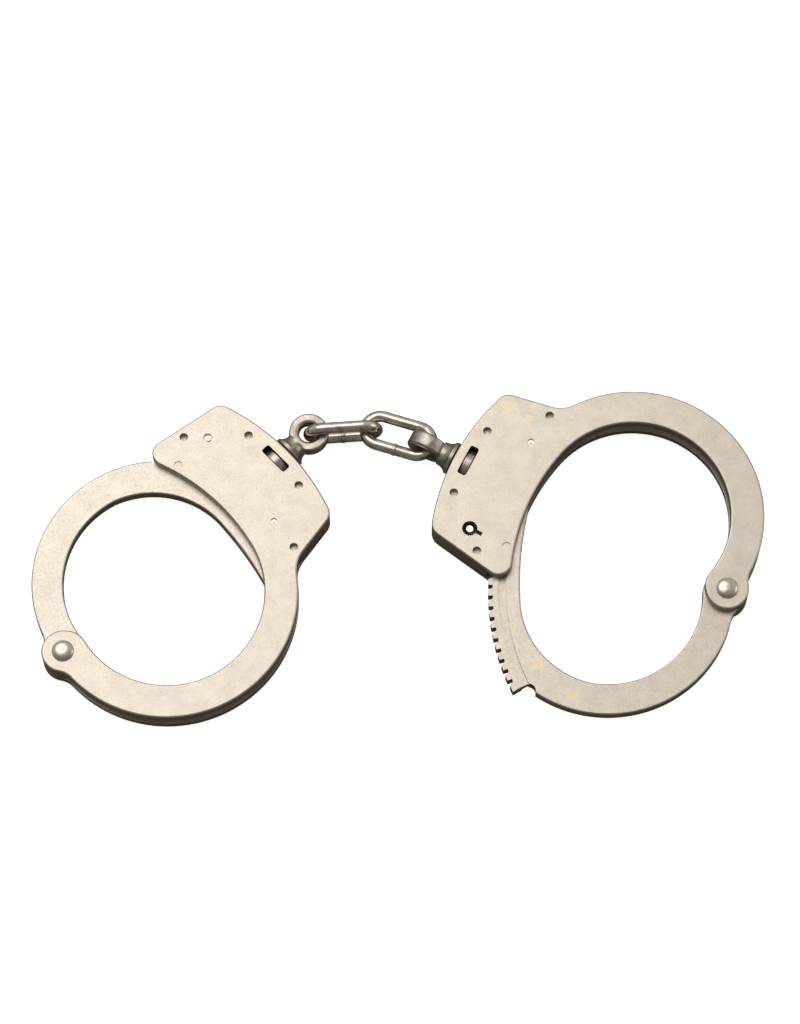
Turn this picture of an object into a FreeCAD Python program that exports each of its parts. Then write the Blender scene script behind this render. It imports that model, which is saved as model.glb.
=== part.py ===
import FreeCAD, Part
import os
from math import atan2, cos, hypot, radians, sin, sqrt

import Sketcher
from FreeCAD import Placement, Rotation, Vector

# A pair of chain-linked handcuffs lying open on a table.
#
# Each cuff is drawn in its own frame: the pivot rivet is at the origin, +X runs
# out along the swivel axis through the lock case, and the mid-plane between the
# two cheek plates is z = 0.  The strand is drawn in the strand frame, where +X
# runs from the pivot to the centre of the strand's ring.

doc = FreeCAD.newDocument("handcuffs")
sheet = doc.addObject("Spreadsheet::Sheet", "dims")

DIMENSIONS = [
    ("ring_inner_radius", 30.1, "radius of the wrist opening, in the double arm"),
    ("ring_width", 10.6, "width of the arm, in plan"),
    ("pivot_inset", 7.5, "pivot centre, out from the edge of the wrist opening"),
    ("boss_radius", 6.76, "round end of the arms at the pivot"),
    ("boss_start", 50, "where the outer edge leaves the round end, degrees"),
    ("boss_blend", 7, "hollow blend between the round end and the arm"),
    ("plate_thickness", 3.1, "each cheek plate"),
    ("plate_edge", 0.6, "rounding round the outer face of a cheek plate"),
    ("cheek_gap", 4.8, "space between the two cheek plates"),
    ("side_play", 0.1, "room each side of what moves between the plates"),
    ("bow_angle", 13.2, "from the swivel axis to the centre of the double ring"),
    ("case_depth", 27.9, "lock case, from its inner arc to its front"),
    ("front_crown", 4.6, "bulge of the case's front"),
    ("front_half_width", 25.7, "half width of the case at its front corners"),
    ("tail_half_width", 30.8, "half width of the case at its tail corner"),
    ("neck_half_width", 30.0, "half width of the case where it meets the arm"),
    ("front_corner", 4.6, "corner radius at the front of the case"),
    ("tail_corner", 4.2, "corner radius at the tail of the case"),
    ("neck_blend", 10, "hollow blend between the case and the arm"),
    ("strand_slimness", 0.7, "single arm narrower than the double arm, at its outer edge"),
    ("strand_edge", 0.5, "rounding along the single arm"),
    ("ratchet_inset", 6.9, "tooth tips, out from the inner arc of the case"),
    ("ratchet_width", 10.0, "ratchet arm, from its inner edge to the tooth tips"),
    ("tooth_depth", 1.4, "ratchet tooth"),
    ("tooth_mouth", 1.75, "width of a tooth gap at the tips"),
    ("tooth_root", 0.95, "width of a tooth gap at its root"),
    ("teeth_per_turn", 132, "ratchet teeth in a whole turn about the pivot"),
    ("notch_count", 18, "tooth gaps cut in the ratchet"),
    ("end_land", 3.5, "plain edge between the last tooth gap and the end cut"),
    ("nose_width", 7.0, "ratchet arm at its nose"),
    ("nose_taper_ease", 48.9, "inner edge towards the nose, radius above the ratchet's"),
    ("nose_land", 4.3, "plain edge between the first tooth gap and the nose"),
    ("nose_cut", 2.6, "corners cut off the nose of the ratchet"),
    ("end_cut_rise", 1.0, "end cut, outside the start of the wide arm"),
    ("end_cut_lean", 0.4, "lean of the end cut, degrees"),
    ("relief_width", 3.4, "round relief between the ratchet and the wide arm"),
    ("relief_radius", 2.3, "radius of that relief"),
    ("widening_tightness", 1.8, "inner edge where the arm widens, radius below the opening's"),
    ("widening_start", 80, "where it starts on the wrist opening, degrees"),
    ("widening_end", 2, "where it ends on the ratchet's inner edge, degrees"),
    ("guide_groove_width", 2.5, "guide groove in both faces of the ratchet arm"),
    ("guide_groove_inset", 3.2, "guide groove, in from the tooth tips"),
    ("guide_groove_depth", 0.9, "depth of the guide groove"),
    ("guide_groove_run", 4, "guide groove past the nose, degrees"),
    ("guide_groove_end", 1, "guide groove into the wide arm, degrees"),
    ("groove_wall", 0.3, "wide arm, inside the guide groove"),
    ("guide_stud_offset", 19.6, "guide stud, sideways from the swivel axis"),
    ("guide_stud_radius", 1.1, "guide stud"),
    ("guide_stud_sink", 0.4, "guide stud below the outer face"),
    ("guide_stud_gap", 0.3, "guide stud clear of the groove's floor"),
    ("open_turn", 27.5, "strand at its first locked notches, from the swivel axis"),
    ("left_notches_closed", 12, "notches the left cuff is closed further"),
    ("running_fit", 0.07, "radial room of what turns on a pin"),
    ("pivot_radius", 2.5, "shank of the pivot rivet"),
    ("pivot_head_radius", 3.45, "domed head of the pivot rivet"),
    ("pivot_head_height", 1.3, "height of that head"),
    ("pivot_crown_radius", 1.0, "small flat on top of that head"),
    ("rivet_radius", 1.375, "through rivets that hold the cheeks"),
    ("rivet_sink", 2.3, "rivet ends below the outer faces"),
    ("front_rivet_depth", 5.5, "front pair of rivets, in from the front"),
    ("front_rivet_offset", 11.5, "front pair, sideways from the swivel axis"),
    ("side_rivet_stand", 4.5, "side pair of rivets, out from the tooth tips"),
    ("side_rivet_offset", 25.2, "side pair, sideways from the swivel axis"),
    ("post_depth", 15.3, "key post, in from the front of the case"),
    ("post_offset", 19.7, "key post, sideways from the swivel axis"),
    ("post_radius", 1.1, "barrel of the key post"),
    ("post_tenon_radius", 0.85, "riveted end of the key post"),
    ("post_countersink", 1.5, "hollow round that riveted end"),
    ("post_countersink_depth", 0.7, "depth of that hollow"),
    ("post_tenon_sink", 0.15, "riveted end below the outer face"),
    ("post_sink", 0.5, "top of the key post below the keyhole face"),
    ("keyhole_radius", 2.4, "round part of the keyhole"),
    ("bit_reach", 4.3, "keyhole slot, from the post's centre"),
    ("bit_width", 1.35, "keyhole slot"),
    ("well_radius", 4.7, "room for the key bit to turn in"),
    ("lock_pin_stand", 3.1, "lock bar's pin, out from the tooth tips"),
    ("lock_pin_offset", 14.7, "lock bar's pin, sideways from the swivel axis"),
    ("lock_pin_radius", 0.85, "lock bar's pin"),
    ("lock_pin_recess", 1.05, "recess round each end of that pin"),
    ("lock_pin_recess_depth", 0.6, "depth of that recess"),
    ("lock_pin_end_radius", 0.5, "thin end of that pin"),
    ("lock_pin_sink", 0.15, "thin end below the outer face"),
    ("key_wall", 0.6, "wall of the hollow key"),
    ("bar_clearance", 0.6, "lock bar clear of the tooth tips"),
    ("bar_width", 4.6, "lock bar"),
    ("bar_heel", 3.4, "lock bar beyond its pin"),
    ("bar_heel_rounding", 1.84, "rounding of that end"),
    ("bar_toe_gap", 1.6, "lock bar's toe short of the key post's sleeve room"),
    ("bar_toe_room", 1.0, "room for the toe to rise, past the key post's centre"),
    ("bar_teeth", 3, "teeth on the lock bar"),
    ("bar_tooth_place", 9.6, "outermost of those teeth, degrees from the swivel axis"),
    ("mesh_play", 0.12, "lock bar's teeth clear of the ratchet's"),
    ("tooth_reach", 1.2, "tooth gap's outline, out from the tooth tips"),
    ("bump_width", 3.0, "bump on the back of the lock bar"),
    ("bump_offset", 4.5, "bump, sideways from the swivel axis"),
    ("slide_gap", 0.25, "bump clear of the locking slide"),
    ("slide_depth", 2.4, "locking slide, along the swivel axis"),
    ("slide_inset", 12.0, "inner face of the locking slide, in from the front"),
    ("slide_travel", 3.0, "how far the locking slide moves"),
    ("slide_tail", 19.0, "slide's shoulder, sideways from the swivel axis"),
    ("slide_head", 10.5, "slide's other end, sideways from the swivel axis"),
    ("slide_end_room", 0.6, "room past the end of the slide's travel"),
    ("slide_notch_depth", 1.9, "hollow in the slide that lets the bump rise"),
    ("slide_notch_before", 1.1, "that hollow, beyond the bump's pin side"),
    ("slide_notch_after", 0.3, "that hollow, beyond the bump's toe side"),
    ("stem_height", 2.2, "push stem of the slide"),
    ("stem_recess", 0.8, "push stem, in from the edge of the case"),
    ("stem_shoulder", 0.2, "push stem narrower than the slide, each side"),
    ("stem_room", 0.1, "slot for the stem wider than the slide, each side"),
    ("stem_slot_room", 0.3, "that slot deeper than the stem"),
    ("case_flare", 1.5, "case wider at the stem than at its front corners"),
    ("spring_strip", 0.35, "leaf spring stock"),
    ("spring_foot", 0.4, "foot of a leaf spring"),
    ("spring_side_room", 0.4, "leaf spring narrower than what it bears on"),
    ("spring_gap", 0.02, "leaf spring clear of what it bears on"),
    ("bar_spring_start", -8, "lock bar's spring, from the swivel axis"),
    ("bar_spring_end", 1.5, "other foot of that spring"),
    ("slide_spring_start", -9, "slide's spring, from the swivel axis"),
    ("slide_spring_end", 6, "other foot of that spring"),
    ("spring_room", 1.9, "space behind the slide for its leaf spring"),
    ("case_wall", 5.6, "side walls of the spacer, at the side rivets"),
    ("swivel_head_radius", 5.3, "round head of the swivel"),
    ("swivel_head_edge", 0.5, "rounding of that head"),
    ("swivel_head_thickness", 2.8, "that head"),
    ("swivel_head_depth", 4.6, "middle of that head, in from the front"),
    ("swivel_fit", 0.1, "room round the swivel's head and shank"),
    ("head_side_room", 0.4, "recess past the rim of the swivel's head"),
    ("shank_radius", 1.9, "swivel's shank"),
    ("window_half_length", 5.05, "window in each cheek, each side of the swivel axis"),
    ("window_corner", 0.8, "corners of that window"),
    ("collar_radius", 5.35, "swivel's collar"),
    ("collar_thickness", 1.2, "that collar"),
    ("collar_gap", 0.3, "collar clear of the case"),
    ("collar_edge", 0.3, "rounding of the collar's outer rim"),
    ("eye_distance", 9.7, "centre of the swivel's eye, out from the case"),
    ("eye_wall", 3.2, "swivel's eye, round its hole"),
    ("eye_room", 1.3, "hole of the eye, larger in radius than the wire"),
    ("eye_thickness", 4.8, "eye, along its hole"),
    ("eye_hole_edge", 1.2, "rounding of the hole of the eye"),
    ("eye_rim_edge", 0.8, "rounding of the rim of the eye"),
    ("neck_radius", 3.9, "turned neck between the collar and the eye"),
    ("neck_reach", 4.9, "end of that neck, in from the centre of the eye"),
    ("neck_flare", 3.6, "hollow flare from the neck to the collar"),
    ("wire_radius", 1.8, "chain link wire"),
    ("link_pitch", 21.7, "chain link, between the wire centres of its ends"),
    ("link_inner_radius", 3.0, "inside of a link's bend"),
    ("weld_half_length", 1.44, "weld bead, along the wire"),
    ("weld_rise", 0.2, "weld bead, out from the wire"),
    ("link_play", 0.2, "room between the crossing wires of the links"),
    ("chain_slack", 1.0, "right link's wire, off the centre of the right eye"),
    ("chain_side_slack", 0.6, "right link's centre line, off the middle of the right eye"),
    ("left_swing", 43.9, "left cuff's swivel axis, from +X"),
    ("right_swing", 152.5, "right cuff's swivel axis, from +X"),
    ("left_link_swing", 4.0, "left link, from +X"),
    ("right_link_swing", -17.0, "right link, from +X"),
]

for row, (alias, number, note) in enumerate(DIMENSIONS, start=1):
    sheet.set(f"A{row}", note)
    sheet.set(f"B{row}", str(number))
    sheet.setAlias(f"B{row}", alias)
doc.recompute()


def value(text):
    return float(sheet.evalExpression(text))


# Sizes worked out from the sheet, as expressions that the features are bound to.
RING_DISTANCE = "(dims.ring_inner_radius + dims.pivot_inset)"
RING_OUTER = "(dims.ring_inner_radius + dims.ring_width)"
CASE_INNER = f"({RING_DISTANCE} + dims.ring_inner_radius)"
CASE_FRONT = f"({CASE_INNER} + dims.case_depth)"
FRONT_CORNER_X = f"({CASE_FRONT} - dims.front_crown)"
FRONT_ARC = "((dims.front_half_width^2 + dims.front_crown^2) / (2 * dims.front_crown))"
OUTER_FACE = "(dims.cheek_gap / 2 + dims.plate_thickness)"
MOVING_THICKNESS = "(dims.cheek_gap - 2 * dims.side_play)"

TOOTH_TIP = f"({CASE_INNER} + dims.ratchet_inset)"
RATCHET_INNER = f"({TOOTH_TIP} - dims.ratchet_width)"
NOSE_INNER = f"({TOOTH_TIP} - dims.nose_width)"
PITCH = "(360 / dims.teeth_per_turn)"
GROOVE_OUTER = f"({TOOTH_TIP} - dims.guide_groove_inset)"
GROOVE_INNER = f"({GROOVE_OUTER} - dims.guide_groove_width)"
STRAND_OUTER = f"({RING_OUTER} - dims.strand_slimness)"
# The wide arm stays inside the groove, so that the guide studs pass it.
ARM_START = f"({GROOVE_INNER} - dims.groove_wall)"
ARM_START_X = f"(({ARM_START}^2 + {RING_DISTANCE}^2 - {STRAND_OUTER}^2) / (2 * {RING_DISTANCE}))"
ARM_START_Y = f"sqrt({ARM_START}^2 - {ARM_START_X}^2)"
MM_TO_DEGREES = "180 / pi"
ARM_START_TURN = f"(acos({ARM_START_X} / {ARM_START}) / 1deg)"
END_CUT_TURN = f"({ARM_START_TURN} - {MM_TO_DEGREES} * dims.relief_width / {ARM_START})"
NOTCH_TURN = f"({END_CUT_TURN} - {MM_TO_DEGREES} * dims.end_land / {TOOTH_TIP})"
LAST_NOTCH_TURN = f"({NOTCH_TURN} - (dims.notch_count - 1) * {PITCH})"
NOSE_TURN = f"({LAST_NOTCH_TURN} - {MM_TO_DEGREES} * dims.nose_land / {TOOTH_TIP})"

FRONT_RIVET_X = f"({CASE_FRONT} - dims.front_rivet_depth)"
SIDE_RIVET_REACH = f"({TOOTH_TIP} + dims.side_rivet_stand)"
SIDE_RIVET_X = f"sqrt({SIDE_RIVET_REACH}^2 - dims.side_rivet_offset^2)"
STUD_REACH = f"({GROOVE_OUTER} - dims.guide_groove_width / 2)"
STUD_X = f"sqrt({STUD_REACH}^2 - dims.guide_stud_offset^2)"
POST_X = f"({CASE_FRONT} - dims.post_depth)"
LOCK_PIN_REACH = f"({TOOTH_TIP} + dims.lock_pin_stand)"
LOCK_PIN_X = f"sqrt({LOCK_PIN_REACH}^2 - dims.lock_pin_offset^2)"
HEAD_X = f"({CASE_FRONT} - dims.swivel_head_depth)"
HEAD_HALF = "(dims.swivel_head_thickness / 2 + dims.swivel_fit)"
EYE_X = f"({CASE_FRONT} + dims.eye_distance)"
EYE_HOLE = "(dims.wire_radius + dims.eye_room)"
EYE_OUTER = f"({EYE_HOLE} + dims.eye_wall)"
LINK_BEND = "(dims.link_inner_radius + dims.wire_radius)"

SLIDE_INNER = f"({CASE_FRONT} - dims.slide_inset)"
SLIDE_OUTER = f"({SLIDE_INNER} + dims.slide_depth)"
CAVITY_FRONT = f"({SLIDE_OUTER} + dims.spring_room)"
CHANNEL = f"({TOOTH_TIP} + dims.bar_clearance)"
INSIDE_CHANNEL = f"({CHANNEL} * 4 / 5)"
BAR_BACK = f"({CHANNEL} + dims.bar_width)"


def polar(radius, turn):
    """A point at a radius and an angle in degrees, as two expressions."""
    return f"{radius} * cos({turn})", f"{radius} * sin({turn})"


# ---- small helpers on top of Sketcher and PartDesign ----

ORIGIN_POINT = (-1, 1)
AXIS_OF = {"X": -1, "Y": -2}


def new_body(label):
    body = doc.addObject("PartDesign::Body", label)
    body.Label = label
    return body


def new_sketch(body, name, height="0", turn="0", plane="XY_Plane"):
    """A sketch on one of the body's own origin planes, raised and turned."""
    sketch = body.newObject("Sketcher::SketchObject", f"{body.Label}_{name}")
    support = [f for f in body.Origin.OriginFeatures if f.Role == plane][0]
    sketch.AttachmentSupport = [(support, "")]
    sketch.MapMode = "FlatFace"
    if turn != "0":
        sketch.AttachmentOffset = Placement(Vector(), Rotation(Vector(0, 0, 1), value(turn)))
        sketch.setExpression(".AttachmentOffset.Rotation.Angle", turn)
    if height != "0":
        sketch.setExpression(".AttachmentOffset.Base.z", height)
    return sketch


def place(sketch, geometry, point, x, y):
    """Ties a point of the sketch to a place given by two expressions."""
    for axis, other, text in (("X", "Y", x), ("Y", "X", y)):
        if text is None:
            continue
        if text == "0":
            on_axis = Sketcher.Constraint("PointOnObject", geometry, point, AXIS_OF[other])
            sketch.addConstraint(on_axis)
            continue
        size = Sketcher.Constraint(f"Distance{axis}", *ORIGIN_POINT, geometry, point, value(text))
        index = sketch.addConstraint(size)
        sketch.setExpression(f"Constraints[{index}]", text)


def set_radius(sketch, geometry, radius):
    index = sketch.addConstraint(Sketcher.Constraint("Radius", geometry, value(radius)))
    sketch.setExpression(f"Constraints[{index}]", radius)


def circle(sketch, x, y, radius):
    shape = Part.Circle(Vector(value(x), value(y)), Vector(0, 0, 1), value(radius))
    geometry = sketch.addGeometry(shape, False)
    place(sketch, geometry, 3, x, y)
    set_radius(sketch, geometry, radius)


def arc_centre(start, end, radius, side):
    """Centre of the short arc from start to end; side 1 keeps it on the left."""
    middle = (start + end) * 0.5
    half = (end - start).Length / 2
    across = Vector(start.y - end.y, end.x - start.x).normalize()
    return middle + across * side * sqrt(max(radius**2 - half**2, 0))


def outline(sketch, corners):
    """A closed outline.  Each corner is (x, y) or (x, y, arc), where arc says how
    the line goes on from there: ("about", x, y, radius, side) is an arc about a
    fixed centre and ("bulge", radius, side) a short arc of a given radius.  Side
    1 turns counter-clockwise and -1 clockwise."""
    count = len(corners)
    points = [Vector(value(c[0]), value(c[1])) for c in corners]
    ends = []
    for i, corner in enumerate(corners):
        start, end = points[i], points[(i + 1) % count]
        arc = corner[2] if len(corner) > 2 else None
        if arc is None:
            geometry = sketch.addGeometry(Part.LineSegment(start, end), False)
            ends.append((geometry, 1, 2))
            continue
        side = arc[-1]
        if arc[0] == "about":
            centre, radius = Vector(value(arc[1]), value(arc[2])), value(arc[3])
        else:
            radius = value(arc[1])
            centre = arc_centre(start, end, radius, side)
        first, last = (start, end) if side > 0 else (end, start)
        from_angle = atan2(first.y - centre.y, first.x - centre.x)
        to_angle = atan2(last.y - centre.y, last.x - centre.x)
        ring = Part.Circle(centre, Vector(0, 0, 1), radius)
        geometry = sketch.addGeometry(Part.ArcOfCircle(ring, from_angle, to_angle), False)
        ends.append((geometry, 1, 2) if side > 0 else (geometry, 2, 1))

    def fixed_arc(i):
        corner = corners[i % count]
        return corner[2] if len(corner) > 2 and corner[2][0] == "about" else None

    for i in range(count):
        geometry, _, end_point = ends[i]
        following = ends[(i + 1) % count]
        join = Sketcher.Constraint("Coincident", geometry, end_point, following[0], following[1])
        sketch.addConstraint(join)
    for i, corner in enumerate(corners):
        geometry, start_point, _ = ends[i]
        arcs = [a for a in (fixed_arc(i - 1), fixed_arc(i)) if a]
        if len(arcs) == 2:
            continue
        x, y = corner[0], corner[1]
        if len(arcs) == 1:
            # A point on a fixed arc needs only one more size to hold it.
            away = points[i] - Vector(value(arcs[0][1]), value(arcs[0][2]))
            if abs(away.y) > abs(away.x):
                y = None
            else:
                x = None
        place(sketch, geometry, start_point, x, y)
    for i, corner in enumerate(corners):
        if len(corner) < 3:
            continue
        arc = corner[2]
        if arc[0] == "about":
            place(sketch, ends[i][0], 3, arc[1], arc[2])
            set_radius(sketch, ends[i][0], arc[3])
        else:
            set_radius(sketch, ends[i][0], arc[1])


def box_outline(sketch, x_low, y_low, x_high, y_high):
    outline(sketch, [(x_low, y_low), (x_high, y_low), (x_high, y_high), (x_low, y_high)])


def check_sketch(sketch):
    if sketch.solve() != 0:
        raise RuntimeError(f"{sketch.Name} can't be solved")


def settle(feature):
    doc.recompute()
    if not feature.isValid() or feature.Shape.isNull():
        raise RuntimeError(f"{feature.Name} failed: {feature.getStatusString()}")
    return feature


def pad(body, sketch, length):
    check_sketch(sketch)
    feature = body.newObject("PartDesign::Pad", f"{sketch.Name}_pad")
    feature.Profile = sketch
    feature.setExpression("Length", length)
    return settle(feature)


def pocket(body, sketch, depth, upwards=False):
    """Cuts down from the sketch, or upwards, and checks that something was cut."""
    check_sketch(sketch)
    before = body.Shape.Volume
    feature = body.newObject("PartDesign::Pocket", f"{sketch.Name}_pocket")
    feature.Profile = sketch
    feature.Reversed = upwards
    feature.setExpression("Length", depth)
    settle(feature)
    if body.Shape.Volume > before - 1e-4:
        raise RuntimeError(f"{feature.Name} cuts nothing")
    return feature


def revolve(body, sketch, axis, cut=False):
    check_sketch(sketch)
    kind = "Groove" if cut else "Revolution"
    feature = body.newObject(f"PartDesign::{kind}", f"{sketch.Name}_{kind.lower()}")
    feature.Profile = sketch
    feature.ReferenceAxis = (sketch, [axis])
    feature.Angle = 360
    return settle(feature)


def turned(point, angle):
    return Rotation(Vector(0, 0, 1), angle).multVec(point)


def upright_edges(shape, points):
    """Names of the edges along Z that are nearest to the given points."""
    names = []
    for point in points:
        best = None
        for number, edge in enumerate(shape.Edges, start=1):
            box = edge.BoundBox
            if box.XLength > 1e-4 or box.YLength > 1e-4:
                continue
            gap = hypot(box.Center.x - point.x, box.Center.y - point.y)
            if best is None or gap < best[0]:
                best = (gap, f"Edge{number}")
        if best is None or best[0] > 0.05:
            raise RuntimeError(f"no upright edge at {point.x:.2f}, {point.y:.2f}")
        names.append(best[1])
    return names


def fillet(body, name, edges, radius):
    base = body.Tip
    feature = body.newObject("PartDesign::Fillet", f"{body.Label}_{name}")
    feature.Base = (base, edges)
    feature.setExpression("Radius", radius)
    return settle(feature)


def round_upright(body, name, points, radius):
    return fillet(body, name, upright_edges(body.Shape, points), radius)


def round_face(body, name, height, radius, reach=None):
    """Rounds the edges in the plane at a height, or those within reach of Z."""
    edges = []
    for number, edge in enumerate(body.Shape.Edges, start=1):
        box = edge.BoundBox
        if abs(box.ZMin - height) > 1e-4 or abs(box.ZMax - height) > 1e-4:
            continue
        middle = edge.valueAt((edge.FirstParameter + edge.LastParameter) / 2)
        if reach is None or hypot(middle.x, middle.y) < reach:
            edges.append(f"Edge{number}")
    return fillet(body, name, edges, radius)


# ---- the arm: a half ring with a round end on the pivot ----


def arm_hollow(outer, side):
    """Where the round end's outline meets the arm's outer edge.  Side 1 is an
    arm at +Y and -1 an arm at -Y, in the frame whose +X runs to its ring's centre."""
    distance, reach = value(RING_DISTANCE), value(outer)
    boss = value("dims.boss_radius")
    x = (distance**2 + boss**2 - reach**2) / (2 * distance)
    return Vector(x, side * sqrt(boss**2 - x**2))


# ---- cheek plates ----


def case_corners():
    """Outline of the lock case, which overlaps the end of the double arm."""
    neck_x, neck_y = polar(CASE_INNER, "-dims.bow_angle")
    tail_x = f"sqrt({CASE_INNER}^2 - dims.tail_half_width^2)"
    return [
        (neck_x, neck_y, ("about", "0", "0", CASE_INNER, 1)),
        (tail_x, "dims.tail_half_width"),
        (FRONT_CORNER_X, "dims.front_half_width", ("bulge", FRONT_ARC, -1)),
        (FRONT_CORNER_X, "-dims.front_half_width"),
        (neck_x, "-dims.neck_half_width"),
    ]


def side_line_meets_ring():
    """Where the case's side wall meets the outer edge of the double arm."""
    corners = case_corners()
    front = Vector(value(corners[3][0]), value(corners[3][1]))
    neck = Vector(value(corners[4][0]), value(corners[4][1]))
    centre = turned(Vector(value(RING_DISTANCE), 0), -value("dims.bow_angle"))
    along = (neck - front).normalize()
    foot = front + along * (centre - front).dot(along)
    half = sqrt(value(RING_OUTER) ** 2 - (centre - foot).Length ** 2)
    return foot - along * half


def cheek(label, side, keyhole):
    """One cheek plate: side 1 above the mid-plane, -1 below it."""
    body = new_body(label)
    inner_face = f"{side} * dims.cheek_gap / 2"
    outer_face = f"{side} * {OUTER_FACE}"
    lower_face = inner_face if side > 0 else outer_face
    upper_face = outer_face if side > 0 else inner_face

    bow = new_sketch(body, "bow", lower_face, "-dims.bow_angle")
    outline(bow, [
        (CASE_INNER, "0", ("about", RING_DISTANCE, "0", "dims.ring_inner_radius", -1)),
        ("dims.pivot_inset", "0", ("bulge", "dims.boss_radius", 1)),
        polar("dims.boss_radius", "dims.boss_start"),
        (f"({RING_DISTANCE} - {RING_OUTER})", "0", ("about", RING_DISTANCE, "0", RING_OUTER, 1)),
        (f"({RING_DISTANCE} + {RING_OUTER})", "0"),
    ])
    pad(body, bow, "dims.plate_thickness")
    boss = new_sketch(body, "boss", lower_face)
    circle(boss, "0", "0", "dims.boss_radius")
    pad(body, boss, "dims.plate_thickness")
    case = new_sketch(body, "case", lower_face)
    outline(case, case_corners())
    pad(body, case, "dims.plate_thickness")

    corners = [Vector(value(c[0]), value(c[1])) for c in case_corners()]
    hollow = turned(arm_hollow(RING_OUTER, -1), -value("dims.bow_angle"))
    round_upright(body, "boss_blend", [hollow], "dims.boss_blend")
    round_upright(body, "neck_blend", [side_line_meets_ring()], "dims.neck_blend")
    round_upright(body, "front_corners", corners[2:4], "dims.front_corner")
    round_upright(body, "tail_corner", corners[1:2], "dims.tail_corner")
    round_face(body, "rim", value(outer_face), "dims.plate_edge")

    holes = new_sketch(body, "holes", upper_face)
    circle(holes, "0", "0", "dims.pivot_radius")
    for sign in ("", "-"):
        circle(holes, FRONT_RIVET_X, f"{sign}dims.front_rivet_offset", "dims.rivet_radius")
        circle(holes, SIDE_RIVET_X, f"{sign}dims.side_rivet_offset", "dims.rivet_radius")
    circle(holes, STUD_X, "dims.guide_stud_offset", "dims.guide_stud_radius")
    circle(holes, LOCK_PIN_X, "-dims.lock_pin_offset", "dims.lock_pin_radius")
    post = "dims.keyhole_radius" if keyhole else "dims.post_tenon_radius"
    circle(holes, POST_X, "dims.post_offset", post)
    pocket(body, holes, "dims.plate_thickness")

    window = new_sketch(body, "window", upper_face)
    box_outline(window, f"{HEAD_X} - {HEAD_HALF}", "-dims.window_half_length",
                f"{HEAD_X} + {HEAD_HALF}", "dims.window_half_length")
    pocket(body, window, "dims.plate_thickness")
    corners = [Vector(value(f"{HEAD_X} {x} {HEAD_HALF}"), value(f"{y}dims.window_half_length"))
               for x in "+-" for y in ("", "-")]
    round_upright(body, "window_corners", corners, "dims.window_corner")

    recess = new_sketch(body, "stud_recess", outer_face)
    circle(recess, STUD_X, "dims.guide_stud_offset", "dims.rivet_radius")
    pocket(body, recess, "dims.guide_stud_sink", upwards=side < 0)
    pin_recess = new_sketch(body, "lock_pin_recess", outer_face)
    circle(pin_recess, LOCK_PIN_X, "-dims.lock_pin_offset", "dims.lock_pin_recess")
    pocket(body, pin_recess, "dims.lock_pin_recess_depth", upwards=side < 0)
    if keyhole:
        slot = new_sketch(body, "bit_slot", upper_face)
        box_outline(slot, f"{POST_X} - dims.bit_reach", "dims.post_offset - dims.bit_width / 2",
                    POST_X, "dims.post_offset + dims.bit_width / 2")
        pocket(body, slot, "dims.plate_thickness")
    else:
        sink = new_sketch(body, "post_countersink", outer_face)
        circle(sink, POST_X, "dims.post_offset", "dims.post_countersink")
        pocket(body, sink, "dims.post_countersink_depth", upwards=side < 0)
    return body


# ---- spacer between the cheeks, open to the strand's path ----


def spacer(label, slot_side):
    body = new_body(label)
    low, high = "-dims.cheek_gap / 2", "dims.cheek_gap / 2"
    case = new_sketch(body, "case", low)
    outline(case, case_corners())
    pad(body, case, "dims.cheek_gap")
    corners = [Vector(value(c[0]), value(c[1])) for c in case_corners()]
    round_upright(body, "front_corners", corners[2:4], "dims.front_corner")

    channel = new_sketch(body, "strand_channel", high)
    circle(channel, "0", "0", CHANNEL)
    pocket(body, channel, "dims.cheek_gap")
    cavity = new_sketch(body, "cavity", high)
    box_outline(cavity, INSIDE_CHANNEL, "-dims.side_rivet_offset + dims.case_wall / 2",
                CAVITY_FRONT, "dims.slide_head + dims.slide_travel + dims.slide_end_room")
    pocket(body, cavity, "dims.cheek_gap")
    well = new_sketch(body, "key_well", high)
    circle(well, POST_X, "dims.post_offset", "dims.well_radius")
    pocket(body, well, "dims.cheek_gap")
    toe_room = new_sketch(body, "toe_room", high)
    box_outline(toe_room, INSIDE_CHANNEL, "0", f"{POST_X} + dims.bar_toe_room",
                "dims.post_offset")
    pocket(body, toe_room, "dims.cheek_gap")
    recess = new_sketch(body, "head_recess", high)
    head_room = "(dims.swivel_head_radius + dims.head_side_room)"
    box_outline(recess, f"{HEAD_X} - {HEAD_HALF}", f"-{head_room}",
                f"{HEAD_X} + {HEAD_HALF}", head_room)
    pocket(body, recess, "dims.cheek_gap")

    rivets = new_sketch(body, "rivet_holes", high)
    for sign in ("", "-"):
        circle(rivets, FRONT_RIVET_X, f"{sign}dims.front_rivet_offset", "dims.rivet_radius")
        circle(rivets, SIDE_RIVET_X, f"{sign}dims.side_rivet_offset", "dims.rivet_radius")
    pocket(body, rivets, "dims.cheek_gap")

    # A milled slot lets the slide's stem reach the edge of the case.
    face = f"{slot_side} * dims.cheek_gap / 2"
    stem_slot = new_sketch(body, "stem_slot", face)
    box_outline(stem_slot, f"{SLIDE_INNER} - dims.stem_room", "-dims.tail_half_width",
                f"{SLIDE_OUTER} + dims.stem_room", "-dims.slide_tail")
    pocket(body, stem_slot, "dims.stem_height + dims.stem_slot_room", upwards=slot_side < 0)

    bore = new_sketch(body, "shank_bore", HEAD_X, plane="YZ_Plane")
    circle(bore, "0", "0", "dims.shank_radius + dims.swivel_fit")
    pocket(body, bore, "2 * dims.swivel_head_depth", upwards=True)
    return body


# ---- single strand with its ratchet ----


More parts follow.
